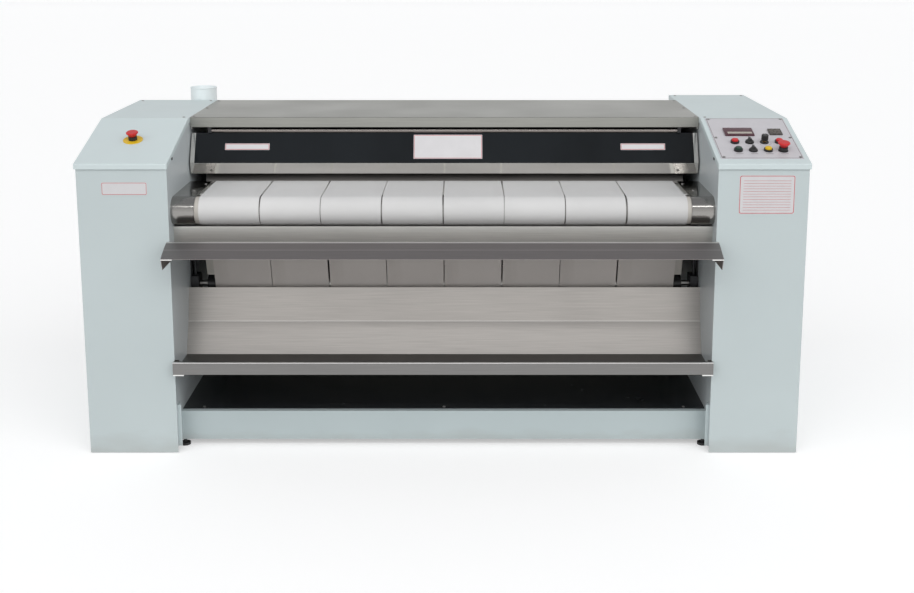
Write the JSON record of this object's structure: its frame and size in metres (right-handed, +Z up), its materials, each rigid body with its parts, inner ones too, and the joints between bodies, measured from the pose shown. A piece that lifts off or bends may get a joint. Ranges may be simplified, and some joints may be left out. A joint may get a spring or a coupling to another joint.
{
  "type": "flatwork ironer",
  "caption": "Flatwork ironer with two side cabinets, a heated drum wrapped by linen belts, front feed belts, finger guard, return chute and linen tray.",
  "frame": {"origin": "centre of the whole machine's box, on the floor under the levelling feet", "axes": "+X to the operator's right, +Y to the back (the operator stands at -Y), +Z up"},
  "size_m": [2.375, 1.164, 1.131],
  "materials": {
    "cabinet_paint": "semi-gloss pale blue-green paint",
    "lid_paint": "semi-gloss grey-blue paint",
    "frame_steel": "painted steel plate",
    "brushed_stainless": "brushed, grain along the machine",
    "polished_stainless": "mirror polished sheet",
    "shelf_stainless": "dull brushed sheet",
    "dark_sheet": "dark sheet",
    "black_metal": "black",
    "feed_cloth": "woven white belt",
    "iron_cloth": "woven heat-proof belt",
    "guide_plastic": "cream",
    "bearing_iron": "black cast iron",
    "roller_steel": "turned steel tube",
    "drum_steel": "polished drum",
    "chain_steel": "oiled steel",
    "motor_paint": "grey-blue machine enamel",
    "white_paint": "white paint",
    "smoked_glass": "dark glossy pane",
    "panel_sheet": "printed aluminium sheet without text",
    "black_plastic": "black",
    "display_plastic": "maroon display housing",
    "red_plastic": "red",
    "green_plastic": "dark green",
    "yellow_plastic": "yellow",
    "screw_steel": "zinc plated"
  },
  "bodies": {
    "frame": {"left_side_frame": "frame_steel", "left_cabinet_shell": "cabinet_paint", "left_lid": "lid_paint", "right_side_frame": "frame_steel", "right_cabinet_shell": "cabinet_paint", "right_lid": "lid_paint", "rear_covers": "cabinet_paint", "base_frame": "cabinet_paint", "levelling_feet": "black_metal", "base_tray": "dark_sheet", "top_hood": "brushed_stainless", "hood_rails": "brushed_stainless", "rear_panel": "brushed_stainless", "feed_bed": "brushed_stainless", "nose_end_guards": "polished_stainless", "front_apron": "brushed_stainless", "feed_shelf": "shelf_stainless", "return_chute": "brushed_stainless", "linen_tray": "shelf_stainless", "edge_guides": "guide_plastic", "feed_belts": "feed_cloth", "ironing_belts": "iron_cloth", "roller_bearings": "bearing_iron", "drum_bearings": "bearing_iron", "heater_bundle": "roller_steel", "gearbox": "motor_paint", "gear_motor": "motor_paint", "drive_chains": "chain_steel", "electrics_box": "black_metal", "blower_housing": "brushed_stainless", "fume_stack": "white_paint", "fan_motor": "motor_paint", "guard_brackets": "black_metal", "control_panel": "panel_sheet", "switch_bodies": "black_plastic", "panel_displays": "display_plastic", "cover_screws": "screw_steel"},
    "drum": {"drum_shell": "drum_steel", "drum_ends": "bearing_iron", "drum_sprockets": "chain_steel"},
    "nose_roller_body": {"nose_roller": "roller_steel"},
    "rear_feed_roller_body": {"rear_feed_roller": "roller_steel"},
    "entry_roller_body": {"entry_roller": "roller_steel"},
    "exit_roller_body": {"exit_roller": "roller_steel"},
    "lower_roller_body": {"lower_roller": "roller_steel"},
    "rear_lower_roller_body": {"rear_lower_roller": "roller_steel"},
    "rear_upper_roller_body": {"rear_upper_roller": "roller_steel"},
    "output_shaft": {"drive_sprocket": "chain_steel"},
    "impeller": {"blower_impeller": "roller_steel"},
    "guard": {"guard_frame": "polished_stainless", "guard_panel": "smoked_glass"},
    "red_button_body": {"red_button": "red_plastic"},
    "green_button_body": {"green_button": "green_plastic"},
    "upper_selector_body": {"upper_selector": "black_plastic"},
    "lower_selector_body": {"lower_selector": "black_plastic"},
    "speed_knob_body": {"speed_knob": "black_plastic"},
    "yellow_button_body": {"yellow_button": "yellow_plastic"},
    "second_red_button_body": {"second_red_button": "red_plastic"},
    "panel_stop_head_body": {"panel_stop_head": "red_plastic"},
    "left_stop_head_body": {"left_stop_head": "red_plastic"}
  },
  "joints": [
    {"name": "drum_spin", "type": "hinge", "parent": "frame", "child": "drum", "pos_m": [0, 0.114, 0.79], "axis": [-1, 0, 0], "continuous": true},
    {"name": "nose_roller_spin", "type": "hinge", "parent": "frame", "child": "nose_roller_body", "pos_m": [0, -0.376, 0.816], "axis": [-1, 0, 0], "continuous": true},
    {"name": "rear_feed_roller_spin", "type": "hinge", "parent": "frame", "child": "rear_feed_roller_body", "pos_m": [0, -0.10601, 0.839], "axis": [-1, 0, 0], "continuous": true},
    {"name": "entry_roller_spin", "type": "hinge", "parent": "frame", "child": "entry_roller_body", "pos_m": [0, -0.04701, 0.95101], "axis": [-1, 0, 0], "continuous": true},
    {"name": "exit_roller_spin", "type": "hinge", "parent": "frame", "child": "exit_roller_body", "pos_m": [0, -0.206, 0.655], "axis": [-1, 0, 0], "continuous": true},
    {"name": "lower_roller_spin", "type": "hinge", "parent": "frame", "child": "lower_roller_body", "pos_m": [0, -0.142, 0.505], "axis": [-1, 0, 0], "continuous": true},
    {"name": "rear_lower_roller_spin", "type": "hinge", "parent": "frame", "child": "rear_lower_roller_body", "pos_m": [0, 0.339, 0.47], "axis": [-1, 0, 0], "continuous": true},
    {"name": "rear_upper_roller_spin", "type": "hinge", "parent": "frame", "child": "rear_upper_roller_body", "pos_m": [0, 0.369, 1.025], "axis": [-1, 0, 0], "continuous": true},
    {"name": "output_shaft_spin", "type": "hinge", "parent": "frame", "child": "output_shaft", "pos_m": [0, 0.114, 0.33], "axis": [-1, 0, 0], "continuous": true},
    {"name": "impeller_spin", "type": "hinge", "parent": "frame", "child": "impeller", "pos_m": [-1.016, 0.474, 0.86], "axis": [0, 1, 0], "continuous": true},
    {"name": "guard_swing", "type": "hinge", "parent": "frame", "child": "guard", "pos_m": [0, -0.076, 1.037], "axis": [1, 0, 0], "range_deg": [0, 8], "stiffness_Nm_per_rad": 12, "springref_deg": -14.32},
    {"name": "red_button_press", "type": "slide", "parent": "frame", "child": "red_button_body", "axis": [0, 0.285, -0.9585], "range_m": [0, 0.004], "stiffness_N_per_m": 500, "springref_m": -0.003},
    {"name": "green_button_press", "type": "slide", "parent": "frame", "child": "green_button_body", "axis": [0, 0.285, -0.9585], "range_m": [0, 0.004], "stiffness_N_per_m": 500, "springref_m": -0.003},
    {"name": "upper_selector_turn", "type": "hinge", "parent": "frame", "child": "upper_selector_body", "pos_m": [1.0165, -0.30608, 1.03067], "axis": [0, -0.285, 0.9585], "range_deg": [-45, 45]},
    {"name": "lower_selector_turn", "type": "hinge", "parent": "frame", "child": "lower_selector_body", "pos_m": [1.0165, -0.36551, 1.013], "axis": [0, -0.285, 0.9585], "range_deg": [-45, 45]},
    {"name": "speed_knob_turn", "type": "hinge", "parent": "frame", "child": "speed_knob_body", "pos_m": [1.0655, -0.30608, 1.03067], "axis": [0, -0.285, 0.9585], "range_deg": [-135, 135]},
    {"name": "yellow_button_press", "type": "slide", "parent": "frame", "child": "yellow_button_body", "axis": [0, 0.285, -0.9585], "range_m": [0, 0.004], "stiffness_N_per_m": 500, "springref_m": -0.003},
    {"name": "second_red_button_press", "type": "slide", "parent": "frame", "child": "second_red_button_body", "axis": [0, 0.285, -0.9585], "range_m": [0, 0.004], "stiffness_N_per_m": 500, "springref_m": -0.003},
    {"name": "panel_stop_head_press", "type": "slide", "parent": "frame", "child": "panel_stop_head_body", "axis": [0, 0.285, -0.9585], "range_m": [0, 0.004], "stiffness_N_per_m": 1500, "springref_m": -0.003},
    {"name": "left_stop_head_press", "type": "slide", "parent": "frame", "child": "left_stop_head_body", "axis": [0, 0.285, -0.9585], "range_m": [0, 0.004], "stiffness_N_per_m": 1500, "springref_m": -0.003}
  ],
  "couplings": [
    {"joint": "entry_roller_spin", "follows": "drum_spin", "ratio": -7.654},
    {"joint": "exit_roller_spin", "follows": "drum_spin", "ratio": -7.654},
    {"joint": "lower_roller_spin", "follows": "drum_spin", "ratio": -6.045},
    {"joint": "rear_lower_roller_spin", "follows": "drum_spin", "ratio": -8.6395},
    {"joint": "rear_upper_roller_spin", "follows": "drum_spin", "ratio": -8.6395},
    {"joint": "output_shaft_spin", "follows": "drum_spin", "ratio": 3},
    {"joint": "nose_roller_spin", "follows": "drum_spin", "ratio": 4.2308},
    {"joint": "rear_feed_roller_spin", "follows": "drum_spin", "ratio": 8.4071}
  ]
}
